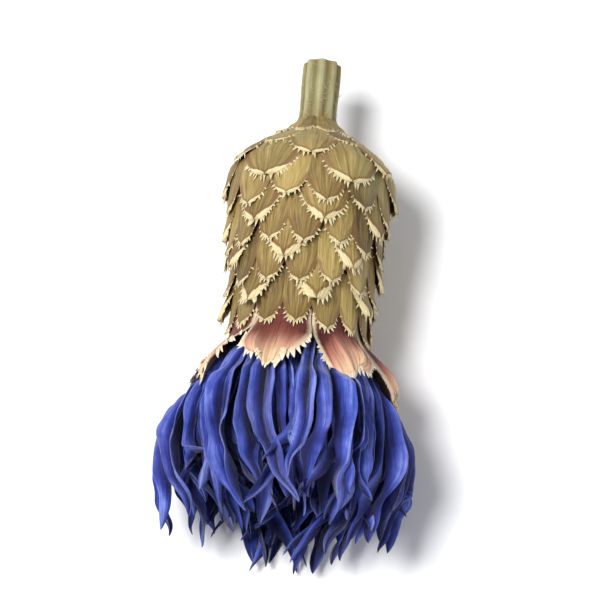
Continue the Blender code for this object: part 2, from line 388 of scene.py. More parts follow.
class Wire:
    """An output socket of a finish, on which Python's arithmetic adds Math nodes."""

    def __init__(self, finish, socket):
        self.finish, self.socket = finish, socket

    __add__ = __radd__ = arithmetic("ADD")
    __mul__ = __rmul__ = arithmetic("MULTIPLY")
    __sub__ = arithmetic("SUBTRACT")
    __rsub__ = arithmetic("SUBTRACT", swapped=True)
    __abs__ = arithmetic("ABSOLUTE")


class Finish:
    """A material, and the nodes that it is made of. Its colour is built up in layers."""

    def __init__(self, name, **constants):
        self.material = bpy.data.materials.new(name)
        self.material.use_nodes = True
        self.tree = self.material.node_tree
        self.shader = self.tree.nodes["Principled BSDF"]
        for label, value in constants.items():
            self.shader.inputs[label.replace("_", " ")].default_value = value
        self.where = self.node("ShaderNodeTexCoord", output="Object")
        self.colour = None

    def put(self, socket, value):
        if isinstance(value, Wire):
            self.tree.links.new(value.socket, socket)
        else:
            socket.default_value = value

    def node(self, kind, settings=None, sockets=None, output=0):
        """A node of any kind: its settings first, then its sockets' values or links."""
        node = self.tree.nodes.new(kind)
        for key, value in (settings or {}).items():
            setattr(node, key, value)
        for key, value in (sockets or {}).items():
            self.put(node.inputs[key], value)
        return Wire(self, node.outputs[output])

    def sum(self, operation, *values):
        return self.node("ShaderNodeMath", {"operation": operation}, dict(enumerate(values)))

    def mark(self, label):
        return self.node("ShaderNodeAttribute", {"attribute_name": label}, output="Fac")

    def marks(self):
        """How far across and along the piece a place lies, and its tone and ridge."""
        lie = self.node("ShaderNodeUVMap", {"uv_map": "lie"})
        across = self.node("ShaderNodeSeparateXYZ", None, {0: lie})
        along = Wire(self, across.socket.node.outputs[1])
        return across, along, self.mark("tone"), self.mark("ridge")

    def noise(self, scale, detail=2.0, roughness=0.5, at=None):
        at = at or self.where
        sockets = {"Vector": at, "Scale": scale, "Detail": detail, "Roughness": roughness}
        return self.node("ShaderNodeTexNoise", None, sockets, "Fac")

    def veins(self, x, y, z, scale, detail, roughness):
        """Noise that is drawn out along a piece, by the place (x, y, z) it is read at."""
        at = self.node("ShaderNodeCombineXYZ", None, {0: x, 1: y, 2: z})
        return self.noise(scale, detail, roughness, at)

    def step(self, value, low, high):
        """0 below low, 1 above high, smooth between them. High may be the smaller."""
        sockets = {"Value": value, "From Min": low, "From Max": high}
        return self.node("ShaderNodeMapRange", {"interpolation_type": "SMOOTHSTEP"}, sockets)

    def blend(self, share, below, above):
        """The colour below where share is 0, and the colour above where it is 1."""
        return self.node("ShaderNodeMix", {"data_type": "RGBA"}, {0: share, 6: below, 7: above}, 2)

    def ramp(self, value, *stops):
        """A colour for each value, from stops of a value, red, green and blue."""
        shade = self.node("ShaderNodeValToRGB", None, {0: value}, "Color")
        elements = shade.socket.node.color_ramp.elements
        while len(elements) < len(stops):
            elements.new(0.5)
        for element, (position, *colour) in zip(elements, stops):
            element.position = position
            element.color = srgb(*colour)
        return shade

    def base(self, value, *stops):
        self.colour = self.ramp(value, *stops)

    def layer(self, share, *colour):
        """Lay a screen colour, or another ramp's, over what is there, as much as share."""
        above = srgb(*colour) if len(colour) == 3 else colour[0]
        self.colour = self.blend(share, self.colour, above)

    def finish(self, roughness, height, depth):
        """The material, with a relief of that height times the depth, in millimetres."""
        sockets = {"Height": height, "Distance": depth * MM, "Strength": 1.0}
        self.put(self.shader.inputs["Base Color"], self.colour)
        self.put(self.shader.inputs["Roughness"], roughness)
        normal = self.node("ShaderNodeBump", None, sockets, "Normal")
        self.put(self.shader.inputs["Normal"], normal)
        return self.material


def petal_finish():
    """Dry blue petal: painted shade makes it navy in the folds and painted light makes it
    violet-blue on the ridges, by the ridge mark; fine streaks along each lobe, and a pale lavender
    tube."""
    make = Finish("dry_blue_petal", Specular_IOR_Level=0.3, Sheen_Weight=0.25, Sheen_Roughness=0.4)
    across, along, tone, ridge = make.marks()
    veins = make.veins(across * 2.6 + tone * 7.0, along * 1.5, tone * 5.0, 2.4, 4.0, 0.7)
    blotch = make.noise(420.0, 3.0, 0.55)
    crinkle = make.noise(1700.0)
    fine = make.noise(3800.0, 2.0, 0.6)
    # Painted shade and light: the ridge mark moves the colour from navy in the folds to pale
    # violet-blue on the crests.
    make.base(
        ridge * 0.75 + veins * 0.9 + blotch * 0.4 + crinkle * 0.2 + tone * 0.26 - 0.73,
        (0.08, 8, 13, 64), (0.3, 20, 32, 106), (0.5, 40, 58, 148), (0.73, 76, 92, 184),
        (0.95, 130, 144, 222),
    )
    violet = make.step(make.noise(160.0, 1.0), 0.5, 0.7)
    make.layer(violet * 0.35, 62, 54, 128)
    edge = make.step(abs(across), 0.7, 1.0) * make.step(along, 0.35, 0.6)
    make.layer(edge * 0.3, 30, 32, 80)
    tube = make.step(along + veins * 0.12, 0.18, 0.04)
    make.layer(tube * 0.6, 164, 160, 200)
    roughness = 0.72 - ridge * 0.2 + blotch * 0.1
    return make.finish(roughness, veins * 0.7 + crinkle * 0.55 + fine * 0.2, 0.16)


def disc_finish():
    """Dark purple bell with a pale tube. Past 1 along it are the anthers, past 2 the style."""
    make = Finish("dry_purple_bell", Specular_IOR_Level=0.3, Sheen_Weight=0.2, Sheen_Roughness=0.4)
    across, along, tone, ridge = make.marks()
    veins = make.veins(across * 3.0 + tone * 5.0, along * 3.0, tone * 3.0, 2.4, 3.0, 0.6)
    fine = make.noise(3500.0, 2.0, 0.6)
    # Painted shade and light: the ridge mark darkens the bell in its folds and lightens it on the
    # crests.
    make.base(
        ridge * 0.5 + veins * 0.5 + tone * 0.25 - 0.2,
        (0.1, 40, 26, 66), (0.4, 78, 56, 128), (0.7, 118, 96, 176), (0.95, 160, 144, 206),
    )
    make.layer(make.step(along, 0.4, 0.15) * 0.75, 186, 172, 184)
    anther = make.ramp(fine * 0.6 + ridge * 0.4, (0.2, 36, 18, 44), (0.8, 96, 62, 104))
    make.layer(make.step(along, 1.0, 1.05), anther)
    style = make.ramp(fine * 0.5 + ridge * 0.5, (0.2, 148, 112, 128), (0.8, 214, 190, 172))
    make.layer(make.step(along, 2.0, 2.05), style)
    return make.finish(0.75 - ridge * 0.2, veins * 0.7 + fine * 0.3, 0.04)


def scale_finish():
    """Straw-gold bract with lengthwise veins, a brown line inside its cream edge, and cream teeth,
    which lie past 1 along it. By the ridge mark, painted light lies on its raised ribs and painted
    shade in their grooves and on its inner face."""
    make = Finish("straw_gold_scale", Specular_IOR_Level=0.4)
    across, along, tone, ridge = make.marks()
    veins = make.veins(across * 7.0 + tone * 9.0, along * 1.3, tone * 4.0, 2.2, 3.0, 0.55)
    cloud = make.noise(330.0, 3.0, 0.55)
    fine = make.noise(4200.0, 2.0, 0.6)
    # Painted light and shade: the ridge mark lightens the raised ribs and darkens their grooves,
    # the inner face and the ends.
    make.base(
        veins * 0.7 + ridge * 0.3 + cloud * 0.3 + tone * 0.16 - 0.22,
        (0.12, 64, 48, 24), (0.36, 128, 104, 57), (0.6, 172, 148, 88), (0.88, 208, 186, 124),
    )
    green = make.step(make.noise(190.0, 1.0), 0.45, 0.7)
    make.layer(green * 0.35, 142, 138, 88)
    ragged = (veins - 0.5) * 0.25 + (cloud - 0.5) * 0.3 + (fine - 0.5) * 0.2
    outer = abs(across) * make.step(along, 0.3, 0.7) + make.step(along, 0.84, 1.0) * 0.9 + ragged
    line = make.step(outer, 0.6, 0.84) * make.step(outer, 1.06, 0.94)
    make.layer(line * 0.6, 116, 78, 44)
    pale = make.blend(make.step(along, 0.66, 0.9), srgb(170, 138, 84), srgb(230, 214, 168))
    make.layer(make.step(outer, 0.96, 1.1) * 0.85, pale)
    speck = make.step(make.noise(1500.0, 2.0, 0.7), 0.62, 0.74)
    make.layer(speck * 0.35, 104, 76, 42)
    cream = make.ramp(
        along - 1.0 + cloud * 0.3, (0.05, 166, 126, 74), (0.4, 220, 198, 144), (0.9, 244, 232, 196)
    )
    make.layer(make.step(along, 1.0, 1.02), cream)
    roughness = 0.62 - ridge * 0.14 + fine * 0.1
    return make.finish(roughness, veins * 0.8 + fine * 0.2 + cloud * 0.3, 0.06)


def rim_finish():
    """Papery rim bract: gold where it is held, then a dark red-brown band where it comes free,
    partly its own brown and partly painted shadow cast by the tips of the whorl above, then peach
    and pink, with cream edges and teeth."""
    make = Finish("papery_rim_scale", Specular_IOR_Level=0.35)
    across, along, tone, ridge = make.marks()
    veins = make.veins(across * 6.0 + tone * 9.0, along * 2.0, tone * 4.0, 2.6, 4.0, 0.6)
    cloud = make.noise(380.0, 3.0, 0.55)
    fine = make.noise(4200.0, 2.0, 0.6)
    # The dark red-brown band, an arc that lies nearer the bract's foot in the middle than at the
    # sides, is partly the bract's own brown and partly painted shadow under the whorl above.
    make.base(
        along + (veins - 0.5) * 0.12 - across * across * 0.13,
        (0.62, 150, 124, 74), (0.69, 112, 72, 44), (0.74, 62, 22, 20), (0.79, 82, 32, 26),
        (0.825, 154, 92, 78), (0.885, 204, 152, 126), (0.95, 224, 194, 154),
    )
    pink = make.step(make.noise(240.0, 1.0), 0.45, 0.65)
    make.layer(pink * 0.3, 188, 116, 112)
    faded = make.step(tone, 0.1, 0.9) * make.step(along, 0.76, 0.9)
    make.layer(faded * 0.6, 206, 182, 134)
    browned = make.step(tone + (cloud - 0.5) * 1.2, 0.2, -0.8)
    browned = browned * make.step(along + cloud * 0.06, 0.95, 0.86)
    make.layer(browned * 0.65, 112, 56, 46)
    dark = make.step(veins, 0.52, 0.64) * make.step(along, 1.0, 0.84)
    make.layer(dark * 0.8, 80, 34, 32)
    edge = make.step(abs(across) + fine * 0.1, 0.86, 1.02)
    make.layer(edge * 0.75, 240, 222, 188)
    cream = make.ramp(
        along - 1.0 + cloud * 0.2, (0.1, 232, 196, 160), (0.5, 246, 228, 200), (0.95, 250, 244, 228)
    )
    make.layer(make.step(along, 1.0, 1.02), cream)
    roughness = 0.62 - ridge * 0.12 + fine * 0.1
    return make.finish(roughness, veins * 0.8 + fine * 0.2 + cloud * 0.3, 0.06)


def stem_finish():
    """Grey-green stalk with ribs. Past 1 along it is the cut, with its pith, past 2 the wool."""
    make = Finish("grey_green_stalk", Specular_IOR_Level=0.25)
    across, along, _, ridge = make.marks()
    fibres = make.veins(across * 40.0, along * 2.0, 0.0, 2.0, 3.0, 0.6)
    fine = make.noise(5200.0, 2.0, 0.6)
    # Painted shade and light: the ridge mark darkens the grooves between the ribs and lightens
    # their crests.
    make.base(
        fibres * 0.6 + ridge * 0.45 + make.noise(500.0) * 0.25 - 0.15,
        (0.1, 88, 82, 48), (0.45, 136, 130, 90), (0.75, 168, 162, 122), (0.97, 206, 202, 172),
    )
    brown = make.step(make.noise(300.0, 3.0, 0.6), 0.48, 0.68)
    make.layer(brown * 0.5, 138, 108, 66)
    pith = make.ramp(
        along - 1.0 + (fine - 0.5) * 0.2,
        (0.05, 110, 92, 56), (0.2, 150, 128, 84), (0.4, 214, 200, 160), (0.9, 232, 222, 190),
    )
    make.layer(make.step(along, 1.0, 1.02), pith)
    make.layer(make.step(along, 2.0, 2.02), 190, 184, 154)
    return make.finish(0.85, fibres * 0.7 + fine * 0.4, 0.05)


# ---- the cup of bracts

SCALE_THICKNESS = 0.2
SMALL_THICKNESS = 0.1
EDGE_POWER = 2.2
FULL_RELIEF = 0.045
INNER_RELIEF = 0.8

# Points across and along a scale
RIM_GRID = (41, 60)
BRACT_GRID = (21, 36)
SMALL_GRID = (11, 18)

# Where along a scale its end comes free of what it lies on
FREE_FROM = 0.55

# The small scales that show between two whorls, their room as a share of a bract's
SMALL_OVER = 1.2
SMALL_LENGTH = 3.4
SMALL_ROOM = 0.29
SMALL_GAP = 0.01
SMALL_NARROWS = 0.45
SMALL_BLUNTNESS = 0.08

# The foot of the cup: where its smallest scales start, and how far from the axis
FOOT_START = -0.45
FOOT_SEAT = 1.03

# The teeth of a scale: pairs from the share first of its length, and more at its tip
Fringe = namedtuple("Fringe", "pairs first at_tip length width rise")
SMALL_FRINGE = Fringe(5, 0.72, 2, 0.42, 0.09, (-0.1, 0.12))
BRACT_FRINGE = Fringe(8, 0.76, 2, 0.5, 0.1, (-0.12, 0.12))
RIM_FRINGE = Fringe(9, 0.88, 13, 0.55, 0.17, (-0.05, 0.3))
TOOTH_DEPTH = 0.035
TOOTH_ROOT = 0.1

# What a scale adds to a plain strip of the cup, in mm or as shares of it
Form = namedtuple("Form", "ragged relief lift reach slim")


def bract_outline(t, narrows, bluntness):
    """Half-width of a bract as a share of its room: full at first, then ovate."""
    beyond = part(t, narrows, 1.0)
    ovate = np.sqrt(1.0 - beyond**2) * (1.0 - 0.35 * beyond)
    return (1.0 - bluntness) * ovate + bluntness


def scale_grid(across, along):
    """Shares across, -1 to 1, and along, closer together towards the tip."""
    u = np.linspace(-1.0, 1.0, across)[None, :]
    v = (1.0 - (1.0 - np.linspace(0.0, 1.0, along)) ** 1.5)[:, None]
    return u, v


def free_end(v):
    return smoothstep(part(v, FREE_FROM, 1.0))


def thinned(thickness, u, share):
    """A thickness that loses a share of itself towards the side edges, as |u|^2.2."""
    return thickness * (1.0 - share * np.abs(u) ** EDGE_POWER)


def keel(u, height, width):
    return height * np.exp(-((u / width) ** 2))


def round_trip(there, back):
    """A row's points or marks there, then those of the way back."""
    return np.concatenate([there, back[:, ::-1]], axis=1)


def scale_with_teeth(rng, style, s, angles, inner, thickness, relief, u, v, tone):
    """A closed thin scale: its outer face stands on its inner one by the thickness and the
    relief, which fades to the sides as 1 - u^4. Its teeth grow from half its thickness."""
    relief = relief * (1.0 - np.abs(u) ** 4)
    outer = inner + thickness + relief
    s, flat = np.broadcast_to(s, outer.shape), np.broadcast_to(u, outer.shape)
    # The ridge mark follows the relief, for painted light on the crests and painted shade in the
    # grooves; the inner face gets half of it and the ends 0.4, as painted shade.
    ridge = 0.5 + 0.5 * np.clip(relief / FULL_RELIEF, -1.0, 1.0)
    outside = place(s, outer, angles)
    inside = place(s, inner + INNER_RELIEF * relief, angles)
    ring, ring_ridge = round_trip(outside, inside), round_trip(ridge, 0.5 * ridge)
    patches = [surface(ring, round_trip(flat, flat), v, tone, ring_ridge, closed=True)]
    for end in (0, -1):
        lid = np.stack([outside[end], inside[end]])
        patches.append(surface(lid, flat[:2], v[end], tone, 0.4))
    edge = s, inner + 0.5 * thickness, angles
    return patches + [fringe(rng, style, edge, v[:, 0], tone)]


def look_up(values, rows, columns):
    """Values of a grid between its points, along its rows, at the nearest column."""
    low = np.clip(np.floor(rows).astype(int), 0, values.shape[0] - 2)
    share = rows - low
    column = np.clip(np.round(columns).astype(int), 0, values.shape[1] - 1)
    return values[low, column] * (1.0 - share) + values[low + 1, column] * share


def unit(vectors):
    return vectors / np.maximum(np.linalg.norm(vectors, axis=1, keepdims=True), 1e-6)


def fringe(rng, style, edge, v, tone):
    """Teeth of torn membrane along a scale's upper edge: they lean sideways low down and
    point forwards at the tip."""
    share = (np.arange(style.pairs) + 0.5) / style.pairs
    level = style.first + (1.0 - style.first) * (1.0 - (1.0 - share) ** 1.5)
    level = np.concatenate([level, level, np.ones(style.at_tip)])
    one_side = np.ones(style.pairs)
    side = np.concatenate([one_side, -one_side, np.linspace(-0.8, 0.8, style.at_tip)])
    total = len(side)
    level = np.clip(level + rng.uniform(-0.01, 0.01, total), 0.0, 1.0)
    rows = np.interp(level, v, np.arange(len(v)))
    columns = (side + 1.0) * 0.5 * (edge[1].shape[1] - 1)
    s, radius, angle = (look_up(values, rows, columns) for values in edge)
    progress = part(level, style.first, 1.0)
    lean = np.radians(58.0 - 50.0 * progress**2 + rng.uniform(-12.0, 12.0, total)) * side
    around = np.stack([-np.sin(angle), np.zeros(total), np.cos(angle)], -1)
    outward = np.stack([np.cos(angle), np.zeros(total), np.sin(angle)], -1)
    heading = np.array([0.0, -1.0, 0.0]) * np.cos(lean)[:, None] + around * np.sin(lean)[:, None]
    heading = unit(heading + outward * rng.uniform(*style.rise, total)[:, None])
    sideways = unit(np.cross(outward, heading))
    length = style.length * (0.55 + 0.45 * progress) * rng.uniform(0.6, 1.2, total)
    width = style.width * rng.uniform(0.7, 1.25, total)
    base = place(s, radius, angle) - heading * TOOTH_ROOT
    lift = outward * rng.uniform(-0.05, 0.16, total)[:, None]
    tones = tone + rng.uniform(-0.4, 0.4, total)
    return spikes(base, heading, sideways, lift, length, width, TOOTH_DEPTH, tones, 1.0)


def small_scale(rng, centre, half_room, start, tip, seat):
    """A small scale that lies on the surface seat(s), with ribs, a keel and teeth. Its end
    comes free and is lifted by a random share."""
    u, v = scale_grid(*SMALL_GRID)
    s = start + (tip - start) * v
    phase = rng.uniform(0.0, FULL_TURN, 4)
    tone = rng.uniform(-1.0, 1.0)
    free = free_end(v)
    ragged = 1.0 + 0.04 * free * np.sin(27.0 * v + phase[0] + u)
    angles = centre + half_room * bract_outline(v, SMALL_NARROWS, SMALL_BLUNTNESS) * u * ragged
    relief = 0.014 * np.cos(13.0 * u + phase[1]) + keel(u, 0.02, 0.16)
    lift = free * (0.05 * (1.0 - u**2) + 0.1 * rng.uniform(-0.3, 1.0) * free**2)
    thickness = thinned(SMALL_THICKNESS, u, 0.7) * (1.0 - 0.4 * free)
    return scale_with_teeth(
        rng, SMALL_FRINGE, s, angles, seat(s) + lift, thickness, relief, u, v, tone
    )


def papery_flap(rng, u, v, free, phase):
    """The rim's bracts where they come free: slow waves, folded ribs that fan out,
    cross-creases, an upturned end and a torn edge."""
    wave = 0.2 * np.sin(2.4 * u + phase[1]) * np.abs(u)
    wave = wave + 0.12 * np.sin(5.0 * u + phase[2] + 4.0 * v)
    fan = u * (4.0 + 5.0 * v)
    ribs = 0.06 * pleat(2.1 * fan + phase[3]) + 0.05 * pleat(4.3 * fan + phase[4])
    creases = 0.05 * pleat(26.0 * v + 5.0 * u + phase[5])
    curl = 0.2 + 0.22 * rng.uniform(-1.0, 1.0) - 0.12 * u**2
    torn = 0.45 * np.sin(2.6 * u + phase[6]) + 0.16 * np.sin(9.0 * u + phase[7])
    torn = torn + 0.05 * np.sin(24.0 * u + phase[5])
    return Form(
        ragged=1.0 + 0.06 * free * np.sin(23.0 * v + phase[0] + 2.0 * u),
        relief=free * (ribs + creases),
        lift=free * wave + free * curl,
        reach=free * torn,
        slim=1.0 - 0.65 * free,
    )


def firm_scale(rng, u, v, free, phase):
    """The other bracts: fine lengthwise ribs, a keel, and a slightly wavy, lifted tip."""
    wave = 0.06 * np.sin(2.2 * u + phase[1] + 2.5 * v) * np.abs(u)
    ribs = 0.02 * np.cos(17.0 * u * (1.0 + 0.3 * v)) + 0.012 * np.sin(31.0 * u + phase[3] + 5.0 * v)
    curl = 0.1 * (1.0 - u**2) + 0.12 * rng.uniform(-0.4, 1.0) * free**2
    return Form(
        ragged=1.0 + 0.03 * free * np.sin(31.0 * v + phase[0] + u),
        relief=ribs + keel(u, 0.04, 0.13) * (1.0 - free),
        lift=free * wave + free * curl,
        reach=0.0,
        slim=1.0 - 0.5 * free,
    )


def on_outermost(s):
    """The outer face of the outermost whorl."""
    return whorl_radius(0, s) + 0.85 * SCALE_THICKNESS + 0.05 * smoothstep(s)


def on_foot(s):
    """From the stem's side out over the smallest scales of the outermost whorl."""
    rise = on_outermost(np.maximum(s, 0.0)) + SMALL_THICKNESS - FOOT_SEAT
    return FOOT_SEAT + rise * smoothstep((s - FOOT_START) / 0.6)


# The smallest scales, round the foot, for each outermost bract: how far round and half their
# room, as shares of its own, their start, their end and how it strays, and what they lie on
COLLAR = (
    (0.5, 0.4, 0.05, 3.2, 0.25, on_outermost),
    (0.0, 0.4, 0.05, 2.1, 0.25, on_outermost),
    (0.25, 0.3, FOOT_START, 1.2, 0.2, on_foot),
    (0.75, 0.3, FOOT_START, 1.2, 0.2, on_foot),
)


def bract(row, number):
    """One bract: a strip of the cup on its whorl's radius, narrowed by bract_outline, and the
    small scales between it and the whorl inside it. The outermost carry the collar too."""
    whorl = WHORLS[row]
    is_rim = row == RIM
    rng = np.random.default_rng(1000 + 50 * row + number)
    pitch = FULL_TURN / whorl.count
    centre = pitch * (number + 0.5 * (row % 2)) + BRACT_TURN * wobble(number, row)
    start = whorl_start(row)
    tip = whorl.tip + BRACT_TIP_WOBBLE * wobble(number, row + 10)
    u, v = scale_grid(*(RIM_GRID if is_rim else BRACT_GRID))
    s = start + (tip - start) * v
    tone = rng.uniform(-1.0, 1.0)
    phase = rng.uniform(0.0, FULL_TURN, 8)
    half = 0.5 * pitch * BRACT_FILL * bract_outline(v, whorl.narrows, whorl.bluntness)
    style = RIM_FRINGE if is_rim else BRACT_FRINGE
    if is_rim:
        held_to = WHORLS[row - 1].tip
        form = papery_flap(rng, u, v, smoothstep(part(s, held_to, tip)), phase)
    else:
        form = firm_scale(rng, u, v, free_end(v), phase)
    inner = whorl_radius(row, s) + bract_flare(row, s, tip) + form.lift
    thickness = thinned(SCALE_THICKNESS, u, 0.8) * form.slim
    angles = centre + half * form.ragged * u
    patches = scale_with_teeth(
        rng, style, s + form.reach, angles, inner, thickness, form.relief, u, v, tone
    )
    if is_rim:
        return weld(join(patches))

    def on_next(s):
        flare = bract_flare(row + 1, s, WHORLS[row + 1].tip)
        return whorl_radius(row, s) - SMALL_THICKNESS - SMALL_GAP + flare

    for side in (-1.0, 1.0):
        end = whorl.tip + SMALL_OVER * rng.uniform(0.85, 1.2)
        turn = centre + 0.25 * pitch * (side + rng.uniform(-0.15, 0.15))
        patches += small_scale(rng, turn, SMALL_ROOM * pitch, end - SMALL_LENGTH, end, on_next)
    for turn, room, start, end, stray, seat in COLLAR if row == 0 else ():
        end += stray * rng.uniform(-1.0, 1.0)
        patches += small_scale(rng, centre + turn * pitch, room * pitch, start, end, seat)
    return weld(join(patches))


# ---- the florets

LOBE_ACROSS = 17
NOTCH_STRAY = 0.16
ANY_PHASE = (0.0, 6.28)

# The crumpling of a petal: how many folds go round, how they drift in radians along each
# millimetre, and their share of the height
CRUMPLES = (
    (2, 0.7, 0.5), (3, 1.3, 0.45), (5, -0.9, 0.5), (9, 0.6, 0.5), (14, -0.4, 0.45),
    (4, 3.1, 0.15), (22, 0.3, 0.4), (33, -0.25, 0.2),
)

# Half the width and depth of a floret where it is open, and its tube's radius
Section = namedtuple("Section", "wide deep tube")
# The height of the pleat along each lobe, and of the crumpling
Folds = namedtuple("Folds", "pleat crumple")
# What lobes do past their notches: they twist at most so many radians, lose the share narrow
# of their width, and move by the others, in mm. Inwards is for the lobes nearest the axis.
Bend = namedtuple("Bend", "twist sway curl short widen lift inwards narrow")


def inside_rim(s):
    """How far from the axis a floret may reach where the rim's bracts hold it, and freely
    beyond their tips."""
    held = whorl_radius(RIM, s) + bract_flare(RIM, s, WHORLS[RIM].tip)
    return held - 0.1 - 0.35 * smoothstep((s - 12.0) / 3.0) + 5.0 * smoothstep((s - 15.3) / 4.0)


def crumple(rng, phase, s):
    """The sum of the CRUMPLES, each a pleat that runs a whole number of times round."""
    height = 0.0
    for around, along_mm, amount in CRUMPLES:
        drift = along_mm * s + rng.uniform(*ANY_PHASE)
        drift = drift + 0.5 * np.sin(0.9 * s + rng.uniform(*ANY_PHASE))
        height = height + amount * pleat(around * np.mod(phase, FULL_TURN) + drift)
    return height


def corolla(
    rng, stations, spread, turn, opening, section, lobes, notches, tip, folds, bend, seen_from,
    lean=0.0, roll=0.0,
):
    """A tube that opens into lobes, a thin sheet: one patch for each lobe.

    A place is given by the phase around the tube and by s. The section is a circle where the
    opening is 0, and an oval where it is 1. Its lobes are strips side by side, which narrow
    past their notches as (1 - x^2.8)^0.8. Each has a pleat along its middle, and folds of its
    own on top of the crumpling. Past the notches it twists about its middle, sways, curls as
    x^2 and ends early. The floret rolls and leans as it rises, and is held inside the rim."""
    q = np.linspace(-1.0, 1.0, LOBE_ACROSS)[None, None, :]
    s = stations[None, :, None]

    def per_lobe(low, high):
        return rng.uniform(low, high, lobes)[:, None, None]

    # The strips and their outline
    strays = rng.uniform(-NOTCH_STRAY, NOTCH_STRAY, lobes)
    edges = (np.arange(lobes) + strays) * FULL_TURN / lobes
    edges = np.append(edges, edges[0] + FULL_TURN)
    middle = (0.5 * (edges[1:] + edges[:-1]))[:, None, None]
    half = (0.5 * (edges[1:] - edges[:-1]))[:, None, None]
    notch = rng.uniform(*notches, lobes)
    left, right = notch[:, None, None], np.roll(notch, -1)[:, None, None]
    own_notch = left * (1.0 - q) / 2.0 + right * (1.0 + q) / 2.0
    beyond = part(s, own_notch, tip)
    outline = (1.0 - bend.narrow * smoothstep(4.0 * beyond)) * (1.0 - beyond**2.8) ** 0.8
    phase = middle + half * q * outline
    loose = part(s, notches[1], tip)
    open_share = opening(s)
    wide = section.tube + (section.wide - section.tube) * open_share
    deep = section.tube + (section.deep - section.tube) * open_share

    # The folds, raised along the oval's normal
    wave = crumple(rng, phase, s)
    own_wave = pleat(per_lobe(0.8, 1.9) * s + per_lobe(*ANY_PHASE) + 2.0 * q)
    own_wave = own_wave * smoothstep(3.0 * loose)
    crease = per_lobe(0.5, 1.5) * np.sign(per_lobe(-0.5, 1.0))
    height = folds.pleat * crease * pleat(math.pi * (q + 0.5))
    height = height + folds.crumple * wave + 0.7 * folds.crumple * own_wave
    # The ridge mark is the fold's height; the finishes paint shade by it in the folds and light on
    # the crests.
    ridge = np.clip(0.5 + 0.5 * height / (0.62 * (folds.pleat + folds.crumple)), 0.0, 1.0)
    height = height * (0.15 + 0.85 * open_share) * np.clip(open_share * 4.0, 0.0, 1.0)
    height = height * np.minimum(1.0, 1.7 * outline)
    normal_side, normal_out = np.cos(phase) / wide, np.sin(phase) / deep
    scale = np.sqrt(normal_side**2 + normal_out**2)
    side = wide * np.cos(phase) + height * normal_side / scale
    out = deep * np.sin(phase) + height * normal_out / scale

    # Each lobe on its own
    centre_side, centre_out = wide * np.cos(middle), deep * np.sin(middle)
    twist = per_lobe(-1.0, 1.0) * bend.twist * loose
    from_side, from_out = side - centre_side, out - centre_out
    side = centre_side + from_side * np.cos(twist) - from_out * np.sin(twist)
    out = centre_out + from_side * np.sin(twist) + from_out * np.cos(twist)
    sway = per_lobe(-1.0, 1.0) * loose**1.3
    waver = np.sin(per_lobe(1.2, 2.6) * s + per_lobe(*ANY_PHASE)) * smoothstep(2.0 * loose)
    sway = bend.sway * (sway + 0.12 * waver)
    curl = bend.curl * per_lobe(-0.6, 1.0) * loose**2
    side = side + sway * np.abs(np.sin(middle))
    side = side + np.cos(middle) * (bend.widen * loose**1.3 + curl)
    out = out + 0.6 * sway * np.cos(middle) + np.sin(middle) * (bend.lift * loose**1.3 + curl)
    out = out - bend.inwards * (0.5 - 0.5 * np.sin(middle)) * loose**1.2
    short = bend.short * per_lobe(0.0, 1.0) ** 2
    reach = s - short * smoothstep(loose) - 0.35 * np.abs(curl) * loose

    # The whole floret
    above = part(s, TUBE_END, tip)
    side, out = turned(side, out, roll * above)
    side = side + lean * above**1.4
    x, z = turned(spread(s) + out, side, turn)
    radius = np.maximum(np.hypot(x, z), 0.1)
    held = soft_ceiling(radius, inside_rim(s), 0.1) / radius
    points = np.stack([x * held, np.broadcast_to(-reach, x.shape), z * held], axis=-1)
    along = np.broadcast_to(part(s, seen_from, tip), x.shape)
    tone = np.broadcast_to(rng.uniform(-0.5, 0.5) + per_lobe(-0.5, 0.5), x.shape)
    return [surface(points[k], q[0], along[k], tone[k], ridge[k]) for k in range(lobes)]


def turned(x, y, angle):
    """A place in a plane, turned about the origin."""
    return x * np.cos(angle) - y * np.sin(angle), x * np.sin(angle) + y * np.cos(angle)


# Ray florets stand in two levels, an outer and an inner one
RAY_SPREADS = (5.85, 4.4)
RAY_CLOSING = (1.3, 0.7)
RAY_INWARDS = (1.4, 2.1)
RAY_SECTION = Section(wide=2.5, deep=1.15, tube=RAY_TUBE_RADIUS)
RAY_FOLDS = Folds(pleat=0.34, crumple=0.2)
RAY_BEND = Bend(
    twist=1.8, sway=1.5, curl=0.8, short=3.4, widen=-0.1, lift=0.0, inwards=0.0, narrow=0.26
)
RAY_LOBES = (10, 11, 9, 10)
RAY_NOTCHES = (16.6, 19.6)
RAY_OPEN_AT = 4.2
RAY_LEANS = (-0.6, 0.3, 1.0, -0.4, -1.0, 0.5)
RAY_FILM = 0.045


